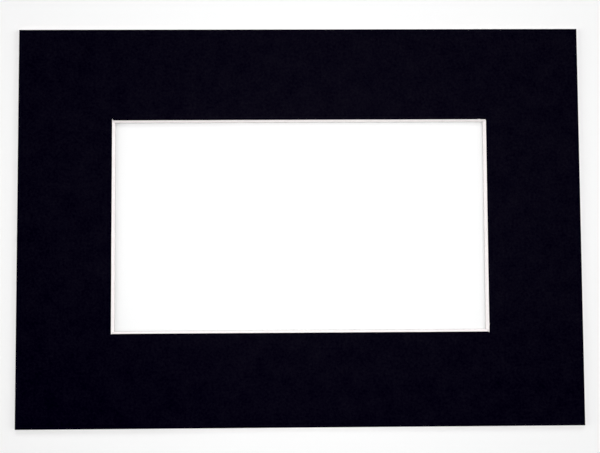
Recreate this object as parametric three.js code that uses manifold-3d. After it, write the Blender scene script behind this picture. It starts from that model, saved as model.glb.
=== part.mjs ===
// Picture mount: a sheet of black-faced mount board with a bevel-cut landscape window, lying flat with its face up.
//
// Millimetres. +X runs along the long side, +Y towards the top edge and +Z out of the face. The origin is in the
// middle of the back, which lies on z = 0.

import * as THREE from "three";
import { mergeVertices } from "three/addons/utils/BufferGeometryUtils.js";
import Module from "manifold-3d";

// Sheet
const sheetLength = 297;
const sheetHeight = 210;
const boardThickness = 1.5;
const facePaperThickness = 0.15;

// Window, measured on the face
const windowLength = 198.5;
const windowHeight = 112.5;
const windowRise = 0.3; // how far the window's middle stands above the sheet's middle

// Bevel: the angle between the blade and the face, in degrees
const sideBevelAngle = 39; // left and right strokes
const levelBevelAngle = 47.5; // top and bottom strokes

// Blade marks: each stroke runs on a little past its corners and leaves a slit there
const kerfWidth = 0.2;
const kerfPoint = 0.3; // length over which a slit narrows to its tip
const bladeLean = 35; // degrees that the cutting edge leans back, which makes a slit longest on the back
const neatRunOn = 0.1; // on the face, past most corners
const topLeftRunOn = 0.6; // the left stroke, on the face, past the top left corner
const bottomLeftRunOn = 0.35; // the left stroke, past the bottom left corner
const bottomRightRunOn = 0.45; // the right stroke, past the bottom right corner

// How far a cutting shape stands clear of what it cuts through
const cutClearance = 1;

// Colours
const blackPaper = 0x08070f;
const whiteCore = 0xf4f1ec;

const wasm = await Module();
wasm.setup();

function toSolid(geometry) {
  const bare = geometry.clone();
  bare.deleteAttribute("normal");
  bare.deleteAttribute("uv");
  const merged = mergeVertices(bare);
  const vertProperties = new Float32Array(merged.attributes.position.array);
  const triVerts = new Uint32Array(merged.index.array);
  return new wasm.Manifold(new wasm.Mesh({ numProp: 3, vertProperties, triVerts }));
}

// Faces are left unshared, so that each flat face keeps its own normal
function toGeometry(solid) {
  const { vertProperties, triVerts } = solid.getMesh();
  const shared = new THREE.BufferGeometry();
  shared.setAttribute("position", new THREE.BufferAttribute(vertProperties, 3));
  shared.setIndex(new THREE.BufferAttribute(triVerts, 1));
  const geometry = shared.toNonIndexed();
  geometry.computeVertexNormals();
  return geometry;
}

function extruded(points, depth) {
  const outline = new THREE.Shape(points.map(([x, y]) => new THREE.Vector2(x, y)));
  return new THREE.ExtrudeGeometry(outline, { depth, bevelEnabled: false });
}

// How far a stroke moves towards the window for each millimetre below the face
function inwardSlope(bevelAngle) {
  return 1 / Math.tan(THREE.MathUtils.degToRad(bevelAngle));
}

// The space between two opposite strokes: a long prism along Y that narrows towards the back
function betweenStrokes(openingOnFace, bevelAngle, length) {
  const slope = inwardSlope(bevelAngle);
  const low = -cutClearance;
  const high = boardThickness + cutClearance;
  const halfLow = openingOnFace / 2 - (boardThickness - low) * slope;
  const halfHigh = openingOnFace / 2 + (high - boardThickness) * slope;
  const section = [[-halfLow, low], [halfLow, low], [halfHigh, high], [-halfHigh, high]];
  return extruded(section, length).translate(0, 0, -length / 2).rotateX(Math.PI / 2);
}

// The piece that falls out of the window. Its four strokes meet in a mitre at each corner.
function windowWaste() {
  const betweenSides = betweenStrokes(windowLength, sideBevelAngle, sheetHeight);
  const betweenLevels = betweenStrokes(windowHeight, levelBevelAngle, sheetLength);
  betweenLevels.rotateZ(Math.PI / 2).translate(0, windowRise, 0);
  return toSolid(betweenSides).intersect(toSolid(betweenLevels));
}

// The slit that one stroke leaves past one corner of the window. The two directions are unit vectors along X or Y:
// from the stroke towards the window, and the way that the stroke runs on.
function runOnSlit(corner, towardsWindow, onward, bevelAngle, runOn) {
  const inward = inwardSlope(bevelAngle);
  const lean = Math.tan(THREE.MathUtils.degToRad(bladeLean));
  const widestSlope = Math.max(inwardSlope(sideBevelAngle), inwardSlope(levelBevelAngle));
  const start = -boardThickness * (lean + widestSlope) - cutClearance;
  const shoulder = runOn - kerfPoint;
  const needle = [[kerfWidth / 2, start], [kerfWidth, start], [kerfWidth, shoulder], [0, runOn]];
  const outline = needle.map(([across, along]) => [
    towardsWindow.x * across + onward.x * along,
    towardsWindow.y * across + onward.y * along,
  ]);
  const alongBlade = new THREE.Matrix4().set(
    1, 0, -towardsWindow.x * inward - onward.x * lean, 0,
    0, 1, -towardsWindow.y * inward - onward.y * lean, 0,
    0, 0, 1, 0,
    0, 0, 0, 1,
  );
  return extruded(outline, boardThickness + 2 * cutClearance)
    .translate(0, 0, -boardThickness - cutClearance)
    .applyMatrix4(alongBlade)
    .translate(corner.x, corner.y, boardThickness);
}

// Both slits of one corner. side is -1 at the left and 1 at the right, and level is -1 below and 1 above.
function cornerSlits(side, level, sideRunOn) {
  const corner = new THREE.Vector2(side * windowLength / 2, level * windowHeight / 2 + windowRise);
  const outward = new THREE.Vector2(side, 0);
  const upright = new THREE.Vector2(0, level);
  const sideSlit = runOnSlit(corner, outward.clone().negate(), upright, sideBevelAngle, sideRunOn);
  const levelSlit = runOnSlit(corner, upright.clone().negate(), outward, levelBevelAngle, neatRunOn);
  return toSolid(sideSlit).add(toSolid(levelSlit));
}

// Everything that the blade takes out of the sheet
function bladeWork() {
  return windowWaste()
    .add(cornerSlits(-1, 1, topLeftRunOn))
    .add(cornerSlits(1, 1, neatRunOn))
    .add(cornerSlits(-1, -1, bottomLeftRunOn))
    .add(cornerSlits(1, -1, bottomRightRunOn));
}

// One layer of the sheet, between two heights, with the window cut through it
function layer(low, high) {
  const x = sheetLength / 2;
  const y = sheetHeight / 2;
  const blank = extruded([[-x, -y], [x, -y], [x, y], [-x, y]], high - low).translate(0, 0, low);
  return toSolid(blank).subtract(bladeWork());
}

function piece(name, solid, color, roughness) {
  const material = new THREE.MeshStandardMaterial({ color, roughness, metalness: 0 });
  const mesh = new THREE.Mesh(toGeometry(solid), material);
  mesh.name = name;
  return mesh;
}

const coreThickness = boardThickness - facePaperThickness;

const pictureMount = new THREE.Group();
pictureMount.name = "picture_mount";
pictureMount.add(piece("core_board", layer(0, coreThickness), whiteCore, 0.9));
pictureMount.add(piece("face_paper", layer(coreThickness, boardThickness), blackPaper, 0.85));

export default pictureMount;
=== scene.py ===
import math

import bpy
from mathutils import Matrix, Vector, noise


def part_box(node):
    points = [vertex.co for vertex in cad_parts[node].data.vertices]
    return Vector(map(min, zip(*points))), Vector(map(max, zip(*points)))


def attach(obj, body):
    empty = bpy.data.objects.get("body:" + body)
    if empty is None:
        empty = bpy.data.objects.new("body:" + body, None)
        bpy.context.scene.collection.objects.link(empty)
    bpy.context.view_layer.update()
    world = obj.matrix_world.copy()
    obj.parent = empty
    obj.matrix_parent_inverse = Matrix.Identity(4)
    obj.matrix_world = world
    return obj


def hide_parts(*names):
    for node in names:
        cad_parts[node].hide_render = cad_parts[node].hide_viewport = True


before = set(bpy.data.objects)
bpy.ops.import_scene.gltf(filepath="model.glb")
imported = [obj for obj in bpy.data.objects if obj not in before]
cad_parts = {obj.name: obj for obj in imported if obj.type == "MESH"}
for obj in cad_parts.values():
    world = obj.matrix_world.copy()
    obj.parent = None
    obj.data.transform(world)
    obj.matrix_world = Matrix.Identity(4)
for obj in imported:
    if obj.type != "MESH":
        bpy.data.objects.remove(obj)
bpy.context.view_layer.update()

MM = 0.001
_, paper_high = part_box("face_paper")
_, core_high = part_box("core_board")

# The sheet, in millimetres, from the frame
HALF_LENGTH = paper_high.x / MM
HALF_HEIGHT = paper_high.y / MM
THICKNESS = paper_high.z / MM
CORE_TOP = core_high.z / MM

# The window on the face, in millimetres, and the blade's angle to the face, in degrees, as in the solids
HALF_WINDOW_LENGTH = 99.25
HALF_WINDOW_HEIGHT = 56.25
WINDOW_RISE = 0.3
SIDE_BEVEL_DEG = 39.0
LEVEL_BEVEL_DEG = 47.5

# How far a stroke moves towards the window for each millimetre below the face
SIDE_SLOPE = 1 / math.tan(math.radians(SIDE_BEVEL_DEG))
LEVEL_SLOPE = 1 / math.tan(math.radians(LEVEL_BEVEL_DEG))

# Camera: above the sheet and leaning a little
LENS_MM = 50.0
SENSOR_MM = 36.0
CAMERA_AT_MM = (-5.983, -22.244, 439.753)
CAMERA_TURN_DEG = (2.883, -0.754, -0.323)

# Exposure: the light that the picture shows as full black
BLACK_POINT = 0.0138

SIDES = ("bottom", "right", "top", "left")
OUTWARD = {"bottom": (0, -1), "right": (1, 0), "top": (0, 1), "left": (-1, 0)}


# Objects and meshes

def linked(name, data):
    """A new object in the scene."""
    made = bpy.data.objects.new(name, data)
    bpy.context.scene.collection.objects.link(made)
    return made


def mesh_of(name, points_mm, faces):
    """A mesh from points in millimetres."""
    mesh = bpy.data.meshes.new(name)
    mesh.from_pydata([Vector(p) * MM for p in points_mm], [], faces)
    return mesh


# Both pieces are a closed section swept round the sheet: a stack of rectangles with the same stations on each

def rectangle(half_x, half_y, mid_y):
    """Corners in the order in which the four sides start."""
    return [
        (-half_x, mid_y - half_y),
        (half_x, mid_y - half_y),
        (half_x, mid_y + half_y),
        (-half_x, mid_y + half_y),
    ]


def side_lengths():
    level = 2 * HALF_WINDOW_LENGTH
    upright = 2 * HALF_WINDOW_HEIGHT
    return {"bottom": level, "right": upright, "top": level, "left": upright}


FIRST_STATION = 0.02  # from the corner, so that neighbouring sides share no point

# Where a slit lies, as distances from the corner: its near side, its shoulder and its far side
SLIT_NEAR = 0.07
SLIT_SHOULDER = 0.13
SLIT_FAR = 0.2
SLIT_WALL = 0.01  # a slit's wall takes up this much of the side

# The first station past the slit, and the steps from one station to the next after it
PAST_SLIT = 0.26
FINEST_STEP = 0.06
COARSEST_STEP = 0.6
STEP_GROWTH = 1.12


def stations(length):
    """Distances from a side's first corner: close together near both corners, where the blade marks are."""
    at_slit = [SLIT_NEAR - SLIT_WALL, SLIT_NEAR, SLIT_SHOULDER, SLIT_FAR, SLIT_FAR + SLIT_WALL]
    half = [FIRST_STATION, *at_slit, PAST_SLIT]
    step = FINEST_STEP
    while half[-1] + step < length / 2:
        half.append(half[-1] + step)
        step = min(step * STEP_GROWTH, COARSEST_STEP)
    return half + [length / 2] + [length - d for d in reversed(half)]


STATIONS = [(side, d) for side in SIDES for d in stations(side_lengths()[side])]


def window_rectangle(z):
    """The window's outline at a height: the four strokes move inwards below the face."""
    below = THICKNESS - z
    half_x = HALF_WINDOW_LENGTH - below * SIDE_SLOPE
    half_y = HALF_WINDOW_HEIGHT - below * LEVEL_SLOPE
    return rectangle(half_x, half_y, WINDOW_RISE)


def grown(corners, by):
    """The rectangle with every side moved outwards."""
    signs = [(-1, -1), (1, -1), (1, 1), (-1, 1)]
    return [(x + sx * by, y + sy * by) for (x, y), (sx, sy) in zip(corners, signs)]


def between(inner, outer, share):
    """A rectangle part of the way from one to another."""
    return [
        (ax + (bx - ax) * share, ay + (by - ay) * share)
        for (ax, ay), (bx, by) in zip(inner, outer)
    ]


# At the top right corner both strokes stopped short, which left it round on the face. The round dies out below it.
ROUND_CORNER = 2
ROUND_RADIUS = 0.7
ROUND_DEPTH = 1.1


def rounded_in(x, y, z, corners, by):
    """The point, pulled in onto the round corner if it lies outside it."""
    radius = ROUND_RADIUS * max(0.0, 1 - (THICKNESS - z) / ROUND_DEPTH)
    mid_x = corners[ROUND_CORNER][0] - radius
    mid_y = corners[ROUND_CORNER][1] - radius
    reach = math.hypot(x - mid_x, y - mid_y)
    if x <= mid_x or y <= mid_y or reach <= radius + by or radius == 0:
        return x, y
    pull = (radius + by) / reach
    return mid_x + (x - mid_x) * pull, mid_y + (y - mid_y) * pull


def ring(corners, z, shift=None, by=0.0, rounded=False):
    """One loop of points. shift gives a move outwards and a move up, in millimetres, for a side and a distance.

    by moves every side straight outwards, so that a slit in it stays straight, and stretches only its two ends.
    """
    points = []
    for side, distance in STATIONS:
        first = SIDES.index(side)
        length = side_lengths()[side]
        share = distance / length
        ax, ay = corners[first]
        bx, end_y = corners[(first + 1) % 4]
        x = ax + (bx - ax) * share
        y = ay + (end_y - ay) * share
        out, up = shift(side, distance, x, y, z) if shift else (0.0, 0.0)
        ox, oy = OUTWARD[side]
        stretch = 0.0
        if distance <= FIRST_STATION:
            stretch = -by
        elif distance >= length - FIRST_STATION:
            stretch = by
        out += by
        x += ox * out - oy * stretch
        y += oy * out + ox * stretch
        if rounded:
            x, y = rounded_in(x, y, z, corners, by)
        points.append((x, y, z + up))
    return points


def swept_mesh(name, rings, slots):
    """A closed body from a stack of rings. slots holds the material slot of the faces above each ring."""
    count = len(STATIONS)
    faces = []
    indices = []
    for level in range(len(rings)):
        above = (level + 1) % len(rings)
        for i in range(count):
            j = (i + 1) % count
            faces.append((level * count + i, above * count + i, above * count + j, level * count + j))
            indices.append(slots[level])
    mesh = mesh_of(name, [p for one in rings for p in one], faces)
    mesh.polygons.foreach_set("material_index", indices)
    mesh.update()
    return linked(name, mesh)


# How the blade and the paper depart from straight and flat

def smooth_noise(*at):
    """A value between about -1 and 1. A bare number among the coordinates only keeps one noise apart from another."""
    return noise.noise(Vector(at))


NOISE_APART = 500.0  # longer than any side, so that no two sides share their noise


def along_ring(side, distance):
    """A place for noise that runs on round the window."""
    return SIDES.index(side) * NOISE_APART + distance


# How large each departure is, in millimetres
BLADE_WANDER = 0.05
PAPER_RAGGEDNESS = 0.012
FACE_WAVE = 0.012
CORE_STREAK = 0.02
CORE_FIBRE = 0.008
EDGE_FIBRE = 0.012


def stroke_wander(side, distance):
    """The slow wander of one stroke, the same through both layers."""
    at = along_ring(side, distance)
    return BLADE_WANDER * (smooth_noise(at / 37.0, 1.7, 0) + 0.4 * smooth_noise(at / 9.0, 5.1, 0))


def bump_at(distance, middle, half_width, height):
    """A smooth swelling along an edge."""
    q = abs(distance - middle) / half_width
    return height * (1 - q * q) ** 2 if q < 1 else 0.0


# Nicks in the cut edge of the face paper, and one tongue: side, distance along it, half width and depth
NICKS = [
    ("top", 3.6, 0.9, 0.22),
    ("top", 197.4, 0.6, -0.3),
    ("right", 3.8, 1.6, 0.16),
]

# How far a neighbouring stroke ran on past each end of a side, measured on the face
NEAT = 0.1
RUN_ONS = {
    ("bottom", "start"): 0.35,
    ("bottom", "end"): 0.45,
    ("right", "start"): NEAT,
    ("right", "end"): NEAT,
    ("top", "start"): NEAT,
    ("top", "end"): 0.6,
    ("left", "start"): NEAT,
    ("left", "end"): NEAT,
}
BLADE_LEAN_DEG = 35.0
BLADE_LEAN = math.tan(math.radians(BLADE_LEAN_DEG))
SLIT_TAPER = 0.25  # how much shorter a slit is at its far side
ROUNDING = 0.001  # more than the rounding errors in the stations

# Paper that a slit has torn open at a corner: how far along the side, and how deep at the corner
TORN = {
    ("top", "end"): (0.8, 1.7),
    ("bottom", "end"): (0.65, 0.75),
    ("bottom", "start"): (0.5, 0.5),
}


def both_ends(side, distance):
    """Each end of a side, with the distance from it."""
    return [("start", distance), ("end", side_lengths()[side] - distance)]


def slit(side, distance, below):
    """How far a slit reaches outwards from this side's own cut, at a depth below the face."""
    for end, q in both_ends(side, distance):
        if SLIT_NEAR - ROUNDING <= q <= SLIT_FAR + ROUNDING:
            slope = SIDE_SLOPE if side in ("left", "right") else LEVEL_SLOPE
            tip = SLIT_TAPER * max(0.0, q - SLIT_SHOULDER) / (SLIT_FAR - SLIT_SHOULDER)
            return max(0.0, RUN_ONS[side, end] + below * (BLADE_LEAN + slope) - tip)
    return 0.0


def torn(side, distance):
    """How far the paper stands open outside its nominal cut."""
    for end, q in both_ends(side, distance):
        along, deep = TORN.get((side, end), (0.0, 0.0))
        if q < along:
            return deep * (1 - q / along) * min(1.0, q / SLIT_NEAR)
    return 0.0


def cut_line(side, distance, below):
    """How far both layers' cut stands outside the nominal one."""
    opened = slit(side, distance, below)
    return opened if opened else stroke_wander(side, distance)


def paper_edge(side, distance, x, y, z):
    """The cut edge of the face paper: ragged, nicked, and torn open at three corners."""
    at = along_ring(side, distance)
    ragged = PAPER_RAGGEDNESS * smooth_noise(at / 0.35, z * 4, 3.3)
    nicks = sum(bump_at(distance, d, w, h) for s, d, w, h in NICKS if s == side)
    out = cut_line(side, distance, THICKNESS - z) + ragged + nicks
    return max(out, torn(side, distance)), 0.0


def paper_top(side, distance, x, y, z):
    """The slight waves of the face, all below its nominal height."""
    wave = smooth_noise(x / 31.0, y / 31.0, 0.5) + 0.5 * smooth_noise(x / 11.0, y / 11.0, 2.5)
    return 0.0, -FACE_WAVE * (1 + wave / 1.5)


def bevel_surface(side, distance, x, y, z):
    """The cut core: streaks that follow the stroke, and torn fibres."""
    at = along_ring(side, distance)
    streaks = CORE_STREAK * smooth_noise(at / 3.0, z * 9, 7.7)
    fibres = CORE_FIBRE * smooth_noise(at / 0.5, z * 14, 9.1)
    return cut_line(side, distance, THICKNESS - z) + streaks + fibres, 0.0


def outer_wall(side, distance, x, y, z):
    """The guillotined edge: fine fibres, all inside the nominal size."""
    return -EDGE_FIBRE - EDGE_FIBRE * smooth_noise(x / 0.9, y / 0.9, z * 8), 0.0


# Material slots on the swept bodies
FACE, PAPER_CUT = 0, 1
# The lining edge slot is painted darker grey: painted shade at the foot of the bevel and along the bottom of the
# outer edge
CORE, LINING_BACK, SHADED_LINING_EDGE = 0, 1, 2

# How far outside the cut the rings stop following the blade marks, in millimetres
CLEAR_ON_FACE = 2.0
CLEAR_OF_SLITS = 3.8

# Face paper, in millimetres: its cut edge at shares of its thickness, the slight break between cut and face, the
# rings across the face, and its rounded outer rim as insets from the edge and drops below the face
PAPER_CUT_SHARES = (0.0, 0.5, 0.8)
BREAK_DROP = 0.01
BREAK_START = 0.02
BREAK_END = 0.08
FACE_RINGS = 22
RIM_START = 0.5
RIM_STEPS = ((0.25, 0.03), (0.12, 0.05), (0.04, 0.08))
RIM_DROP = 0.11


def face_paper():
    outer = rectangle(HALF_LENGTH, HALF_HEIGHT, 0)
    thick = THICKNESS - CORE_TOP
    rings = []
    slots = []

    def add(points, slot):
        rings.append(points)
        slots.append(slot)

    for share in PAPER_CUT_SHARES:
        z = CORE_TOP + thick * share
        add(ring(window_rectangle(z), z, paper_edge, rounded=True), PAPER_CUT)
    on_face = window_rectangle(THICKNESS)
    add(ring(on_face, THICKNESS - BREAK_DROP, paper_edge, BREAK_START, rounded=True), FACE)
    add(ring(on_face, THICKNESS, paper_edge, BREAK_END, rounded=True), FACE)
    add(ring(on_face, THICKNESS, paper_top, by=CLEAR_ON_FACE), FACE)
    flat_inner = grown(on_face, CLEAR_ON_FACE)
    flat_outer = grown(outer, -RIM_START)
    for i in range(1, FACE_RINGS + 1):
        add(ring(between(flat_inner, flat_outer, i / FACE_RINGS), THICKNESS, paper_top), FACE)
    for inset, drop in RIM_STEPS:
        add(ring(grown(outer, -inset), THICKNESS - drop), FACE)
    add(ring(outer, THICKNESS - RIM_DROP), PAPER_CUT)
    add(ring(outer, CORE_TOP), PAPER_CUT)
    return swept_mesh("face_paper_sheet", rings, slots)


# Core board, in millimetres: the lining's thickness, the foot of the bevel and the outer edge of the back, each
# broken a little, and the rings on the bevel, on the outer wall and across the back
LINING = 0.12
FOOT_BREAK = 0.04
FOOT_RISE = 0.03
BACK_INSET = 0.1
BACK_BREAK_INSET = 0.03
BACK_BREAK_RISE = 0.02
BEVEL_RINGS = 10
WALL_RINGS = 8
BACK_RINGS = 8


def core_board():
    outer = rectangle(HALF_LENGTH, HALF_HEIGHT, 0)
    foot = window_rectangle(0)
    rings = []
    slots = []

    def add(points, slot):
        rings.append(points)
        slots.append(slot)

    # The two lowest rings of the bevel take the lining edge, painted darker grey as shade at the foot
    add(ring(foot, 0, bevel_surface, by=FOOT_BREAK), SHADED_LINING_EDGE)
    add(ring(window_rectangle(FOOT_RISE), FOOT_RISE, bevel_surface), SHADED_LINING_EDGE)
    for i in range(BEVEL_RINGS + 1):
        z = LINING + (CORE_TOP - LINING) * i / BEVEL_RINGS
        add(ring(window_rectangle(z), z, bevel_surface, rounded=True), CORE)
    add(ring(window_rectangle(CORE_TOP), CORE_TOP, by=CLEAR_OF_SLITS), CORE)
    # The faces below the outer wall's last ring are the lining edge, painted darker grey as shade
    for i in range(WALL_RINGS + 1):
        z = CORE_TOP + (LINING - CORE_TOP) * i / WALL_RINGS
        add(ring(outer, z, outer_wall if 0 < i else None), CORE if i < WALL_RINGS else SHADED_LINING_EDGE)
    add(ring(grown(outer, -BACK_BREAK_INSET), BACK_BREAK_RISE), LINING_BACK)
    back_outer = grown(outer, -BACK_INSET)
    back_inner = grown(foot, CLEAR_OF_SLITS)
    for i in range(BACK_RINGS):
        add(ring(between(back_outer, back_inner, i / BACK_RINGS), 0), LINING_BACK)
    add(ring(foot, 0, by=CLEAR_OF_SLITS), LINING_BACK)
    return swept_mesh("core_board_sheet", rings, slots)


# Materials: node textures are laid out in millimetres of the object

def node_material(name, roughness, specular):
    made = bpy.data.materials.new(name)
    made.use_nodes = True
    shader = made.node_tree.nodes["Principled BSDF"]
    shader.inputs["Roughness"].default_value = roughness
    shader.inputs["Specular IOR Level"].default_value = specular
    return made, made.node_tree, shader


def place_mm(tree, stretch=(1.0, 1.0, 1.0), turn=0.0):
    """Object coordinates in millimetres, turned about Z. They stretch a texture along each axis by the stretch."""
    place = tree.nodes.new("ShaderNodeTexCoord")
    mapped = tree.nodes.new("ShaderNodeMapping")
    mapped.vector_type = "TEXTURE"
    mapped.inputs["Rotation"].default_value = (0.0, 0.0, math.radians(turn))
    mapped.inputs["Scale"].default_value = [MM * s for s in stretch]
    tree.links.new(place.outputs["Object"], mapped.inputs["Vector"])
    return mapped.outputs["Vector"]


def grain(tree, place, size_mm, detail=2.0, roughness=0.5, distortion=0.0):
    """Noise whose patches are about this size."""
    made = tree.nodes.new("ShaderNodeTexNoise")
    made.inputs["Scale"].default_value = 1.0 / size_mm
    made.inputs["Detail"].default_value = detail
    made.inputs["Roughness"].default_value = roughness
    made.inputs["Distortion"].default_value = distortion
    tree.links.new(place, made.inputs["Vector"])
    return made.outputs["Fac"]


def sloped(tree, value, low, high, at_low, at_high):
    """The value's range from low to high spread over at_low to at_high, and held at both ends."""
    made = tree.nodes.new("ShaderNodeMapRange")
    made.inputs["From Min"].default_value = low
    made.inputs["From Max"].default_value = high
    made.inputs["To Min"].default_value = at_low
    made.inputs["To Max"].default_value = at_high
    tree.links.new(value, made.inputs["Value"])
    return made.outputs["Result"]


def spread(tree, value, low, high):
    """The value's range from low to high spread over 0 to 1."""
    return sloped(tree, value, low, high, 0.0, 1.0)


def combined(tree, operation, first, second):
    """Two values, each a number or a node's output, put together by one operation."""
    made = tree.nodes.new("ShaderNodeMath")
    made.operation = operation
    for socket, value in zip(made.inputs, (first, second)):
        if isinstance(value, float):
            socket.default_value = value
        else:
            tree.links.new(value, socket)
    return made.outputs["Value"]


def weighted(tree, parts):
    """The sum of several values, each times its weight."""
    total = 0.0
    for value, weight in parts:
        total = combined(tree, "ADD", combined(tree, "MULTIPLY", value, weight), total)
    return total


def hairs(tree, size_mm, width, stretch, turn):
    """Fine curved lines, as of fibres: the places where a noise passes through its middle."""
    noise_value = grain(tree, place_mm(tree, stretch, turn), size_mm, detail=1.0, distortion=0.6)
    off_middle = combined(tree, "ABSOLUTE", combined(tree, "SUBTRACT", noise_value, 0.5), 0.0)
    return sloped(tree, off_middle, 0.0, width, 1.0, 0.0)


HAIR_STRETCH = (1.0, 0.35, 1.0)
HAIR_LAYERS = ((1.0, 15), (1.25, 75), (0.8, 140))  # each layer's share of the size, and its turn in degrees


def fibre_mat(tree, size_mm, width):
    """Three layers of hairs, lying in different directions."""
    first, second, third = [hairs(tree, size_mm * k, width, HAIR_STRETCH, turn) for k, turn in HAIR_LAYERS]
    return combined(tree, "MAXIMUM", first, combined(tree, "MAXIMUM", second, third))


def colour_between(tree, value, dark, light):
    """Dark where the value is 0 and light where it is 1."""
    made = tree.nodes.new("ShaderNodeMix")
    made.data_type = "RGBA"
    made.inputs["A"].default_value = (*dark, 1.0)
    made.inputs["B"].default_value = (*light, 1.0)
    tree.links.new(value, made.inputs["Factor"])
    return made.outputs["Result"]


def finish_surface(tree, shader, colour, height, height_mm, roughness=None):
    """Joins the textures to the shader. height_mm is the relief that a height of 1 stands for."""
    tree.links.new(colour, shader.inputs["Base Color"])
    if roughness is not None:
        tree.links.new(roughness, shader.inputs["Roughness"])
    bump = tree.nodes.new("ShaderNodeBump")
    bump.inputs["Strength"].default_value = 1.0
    bump.inputs["Distance"].default_value = height_mm * MM
    tree.links.new(height, bump.inputs["Height"])
    tree.links.new(bump.outputs["Normal"], shader.inputs["Normal"])


def black_paper():
    """Facing paper dyed through: a soft felt of fibres with a fine tooth and a faint cloudiness."""
    made, tree, shader = node_material("black_paper", roughness=0.75, specular=0.12)
    flat = place_mm(tree)
    cloud = grain(tree, flat, 9.0, detail=3.0, roughness=0.6)
    mottle = grain(tree, flat, 1.3, detail=3.0, roughness=0.65)
    tooth = grain(tree, flat, 0.28, detail=2.0, roughness=0.7)
    fibres = fibre_mat(tree, 1.6, 0.03)
    tone = weighted(tree, [(cloud, 0.35), (mottle, 0.9), (tooth, 0.5), (fibres, 0.12)])
    shade = spread(tree, tone, 0.55, 1.35)
    colour = colour_between(tree, shade, dark=(0.0050, 0.0046, 0.0073), light=(0.0110, 0.0105, 0.0150))
    height = weighted(tree, [(mottle, 0.5), (tooth, 1.0), (fibres, 0.35)])
    roughness = sloped(tree, tone, 0.55, 1.35, 0.82, 0.68)
    finish_surface(tree, shader, colour, height, height_mm=0.024, roughness=roughness)
    return made


def black_paper_cut():
    """The same paper where a blade went through it: duller, with torn fibre ends."""
    made, tree, shader = node_material("black_paper_cut", roughness=0.95, specular=0.05)
    ends = grain(tree, place_mm(tree, (1.0, 1.0, 0.4)), 0.12, detail=3.0, roughness=0.7)
    shade = spread(tree, ends, 0.3, 0.7)
    colour = colour_between(tree, shade, dark=(0.005, 0.0046, 0.007), light=(0.018, 0.017, 0.021))
    finish_surface(tree, shader, colour, ends, height_mm=0.02)
    return made


def white_core():
    """Pressed pulp: thin plies that the blade laid open, with fibres and soft streaks along the cut."""
    made, tree, shader = node_material("white_core", roughness=0.9, specular=0.1)
    plies = grain(tree, place_mm(tree, (9.0, 9.0, 0.16)), 1.0, detail=2.0, roughness=0.6)
    clumps = grain(tree, place_mm(tree, (1.6, 1.6, 0.5)), 1.0, detail=2.0)
    fibres = grain(tree, place_mm(tree), 0.16, detail=3.0, roughness=0.7)
    tone = weighted(tree, [(plies, 0.7), (clumps, 0.6), (fibres, 0.5)])
    shade = spread(tree, tone, 0.6, 1.2)
    colour = colour_between(tree, shade, dark=(0.80, 0.755, 0.75), light=(0.93, 0.89, 0.885))
    height = weighted(tree, [(plies, 1.0), (clumps, 0.4), (fibres, 0.8)])
    finish_surface(tree, shader, colour, height, height_mm=0.03)
    return made


def lining_paper():
    """The back: off-white lining paper with a fine felt of fibres, a few specks and a faint cloudiness."""
    made, tree, shader = node_material("lining_paper", roughness=0.88, specular=0.15)
    flat = place_mm(tree)
    cloud = grain(tree, flat, 14.0, detail=3.0, roughness=0.6)
    mottle = grain(tree, flat, 1.8, detail=3.0, roughness=0.6)
    fibres = fibre_mat(tree, 2.2, 0.025)
    tone = weighted(tree, [(cloud, 0.6), (mottle, 0.6), (fibres, 0.15)])
    shade = spread(tree, tone, 0.4, 0.95)
    paper = colour_between(tree, shade, dark=(0.70, 0.68, 0.63), light=(0.84, 0.825, 0.79))
    speck_seed = grain(tree, flat, 0.5, detail=1.0)
    specks = tree.nodes.new("ShaderNodeMix")
    specks.data_type = "RGBA"
    specks.inputs["B"].default_value = (0.36, 0.33, 0.28, 1.0)
    tree.links.new(paper, specks.inputs["A"])
    tree.links.new(sloped(tree, speck_seed, 0.80, 0.86, 0.0, 0.5), specks.inputs["Factor"])
    height = weighted(tree, [(mottle, 0.8), (fibres, 0.5), (grain(tree, flat, 0.3), 0.7)])
    finish_surface(tree, shader, specks.outputs["Result"], height, height_mm=0.03)
    return made


def painted_shade_lining_cut():
    """The cut edge of the lining, painted darker grey as shade at the foot of the bevel, and the same painted shade
    along the bottom of the outer edge.
    """
    made, tree, shader = node_material("painted_shade_lining_cut", roughness=0.95, specular=0.05)
    ends = grain(tree, place_mm(tree, (2.0, 2.0, 0.3)), 0.4, detail=3.0, roughness=0.7)
    shade = spread(tree, ends, 0.3, 0.7)
    colour = colour_between(tree, shade, dark=(0.30, 0.29, 0.285), light=(0.50, 0.485, 0.48))
    finish_surface(tree, shader, colour, ends, height_mm=0.02)
    return made


def studio_floor():
    """Smooth matt white paper."""
    made, tree, shader = node_material("floor_white", roughness=0.9, specular=0.1)
    tooth = grain(tree, place_mm(tree), 0.8, detail=2.0)
    colour = colour_between(tree, tooth, dark=(0.896, 0.896, 0.896), light=(0.904, 0.904, 0.904))
    finish_surface(tree, shader, colour, tooth, height_mm=0.0015)
    return made


# Studio

def camera():
    data = bpy.data.cameras.new("camera")
    data.lens = LENS_MM
    data.sensor_width = SENSOR_MM
    made = linked("camera", data)
    made.location = [v * MM for v in CAMERA_AT_MM]
    made.rotation_euler = [math.radians(a) for a in CAMERA_TURN_DEG]
    bpy.context.scene.camera = made


SURROUND = 0.3  # strength of the even white light from all round

# Soft panels round the table: the azimuth from +Y towards +X and the elevation in degrees, the distance and the width
# in metres, and the power in watts
PANELS = [
    ("top_panel", 0, 31, 3.0, 1.0, 31),
    ("foot_panel", 180, 15, 8.0, 3.2, 66),
    ("right_low", 90, 25, 5.0, 2.7, 110),
    ("right_high", 90, 50, 8.0, 5.3, 116),
    ("left_low", -90, 12, 8.0, 2.7, 39),
    ("left_high", -90, 25, 8.0, 4.3, 306),
]


def add_light(name, kind, watts):
    data = bpy.data.lights.new(name, kind)
    data.energy = watts
    made = linked(name, data)
    made.visible_camera = False
    return made


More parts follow.
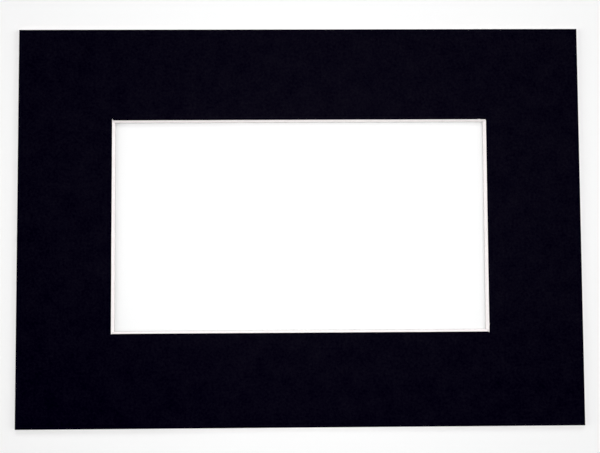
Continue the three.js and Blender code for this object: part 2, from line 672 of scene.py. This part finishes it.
def panel(name, azimuth, elevation, distance, width, watts):
    made = add_light(name, "AREA", watts)
    made.data.shape = "SQUARE"
    made.data.size = width
    a = math.radians(azimuth)
    e = math.radians(elevation)
    made.location = distance * Vector((math.sin(a) * math.cos(e), math.cos(a) * math.cos(e), math.sin(e)))
    made.rotation_euler = (-made.location).to_track_quat("-Z", "Y").to_euler()


# The lamp over the window: metres and watts
SPOT_HEIGHT = 0.9
SPOT_LIT_RADIUS = 0.17
SPOT_LAMP_RADIUS = 0.12
SPOT_WATTS = 9.2


def window_spot():
    """A soft lamp overhead, which makes the table brightest in the window."""
    made = add_light("window_spot", "SPOT", SPOT_WATTS)
    made.data.spot_size = 2 * math.atan(SPOT_LIT_RADIUS / SPOT_HEIGHT)
    made.data.spot_blend = 1.0
    made.data.shadow_soft_size = SPOT_LAMP_RADIUS
    made.location = (0, 0, SPOT_HEIGHT)


# How far the floor sags under the left and right parts of the sheet
SAG_LEFT_MM = 0.55
SAG_RIGHT_MM = 0.35

# Distances from the sheet's middle: where the sag stops changing, where the floor falls away from the sheet along its
# length, and where it comes up to the sheet across its height
SAG_SPAN_MM = 90.0
TOUCH_LENGTH_MM = (25.0, 90.0)
TOUCH_HEIGHT_MM = (60.0, 90.0)

# The floor's grid: its cells near the mount, how many of them lie each way, and the coarse lines beyond
FLOOR_CELL_MM = 5.0
FLOOR_CELLS = 40
FLOOR_FAR_MM = (400.0, 900.0, 2500.0, 8000.0, 20000.0)


def eased(value, start, end):
    """0 at start and 1 at end, with a smooth change between."""
    t = min(1.0, max(0.0, (value - start) / (end - start)))
    return t * t * (3 - 2 * t)


def floor_height(x, y):
    """Backdrop paper never lies quite flat: it touches the middle of the sheet's long borders and sags elsewhere."""
    touching = (1 - eased(abs(x), *TOUCH_LENGTH_MM)) * eased(abs(y), *TOUCH_HEIGHT_MM)
    sag = SAG_LEFT_MM + (SAG_RIGHT_MM - SAG_LEFT_MM) * eased(x, -SAG_SPAN_MM, SAG_SPAN_MM)
    return -sag * (1 - touching)


def floor():
    """A white sheet of backdrop paper, finely divided near the mount."""
    near = [FLOOR_CELL_MM * i for i in range(-FLOOR_CELLS, FLOOR_CELLS + 1)]
    places = [-d for d in reversed(FLOOR_FAR_MM)] + near + list(FLOOR_FAR_MM)
    count = len(places)
    points = [(x, y, floor_height(x, y)) for y in places for x in places]
    faces = [
        (j * count + i, j * count + i + 1, (j + 1) * count + i + 1, (j + 1) * count + i)
        for j in range(count - 1)
        for i in range(count - 1)
    ]
    mesh = mesh_of("floor", points, faces)
    mesh.shade_smooth()
    mesh.materials.append(studio_floor())
    linked("floor", mesh)


# A low pale wall far away all round the floor, which closes the view from a low camera
WALL_RADIUS_MM = 5800.0
WALL_HEIGHT_MM = 280.0
WALL_BRIGHTNESS = 0.9
WALL_PANES = 96


def glowing_white():
    made, _, shader = node_material("wall_white", roughness=0.9, specular=0.0)
    shader.inputs["Base Color"].default_value = (0.0, 0.0, 0.0, 1.0)
    shader.inputs["Emission Color"].default_value = (1.0, 1.0, 1.0, 1.0)
    shader.inputs["Emission Strength"].default_value = WALL_BRIGHTNESS
    return made


def far_wall():
    points = []
    for i in range(WALL_PANES):
        a = 2 * math.pi * i / WALL_PANES
        x, y = WALL_RADIUS_MM * math.cos(a), WALL_RADIUS_MM * math.sin(a)
        points += [(x, y, floor_height(x, y)), (x, y, WALL_HEIGHT_MM)]
    total = len(points)
    faces = [(i, i + 1, (i + 3) % total, (i + 2) % total) for i in range(0, total, 2)]
    mesh = mesh_of("far_wall", points, faces)
    mesh.materials.append(glowing_white())
    linked("far_wall", mesh)


camera()
floor()
far_wall()
for one in PANELS:
    panel(*one)
window_spot()

world = bpy.data.worlds.new("studio")
bpy.context.scene.world = world
world.use_nodes = True
world.node_tree.nodes["Background"].inputs["Color"].default_value = (1.0, 1.0, 1.0, 1.0)
world.node_tree.nodes["Background"].inputs["Strength"].default_value = SURROUND

sheet = face_paper()
for one in (black_paper(), black_paper_cut()):
    sheet.data.materials.append(one)
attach(sheet, "root")
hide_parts("face_paper")

board = core_board()
for one in (white_core(), lining_paper(), painted_shade_lining_cut()):
    board.data.materials.append(one)
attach(board, "root")
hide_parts("core_board")

settings = bpy.context.scene.view_settings
settings.view_transform = "Standard"
settings.use_curve_mapping = True
settings.curve_mapping.black_level = (BLACK_POINT, BLACK_POINT, BLACK_POINT)
settings.curve_mapping.update()
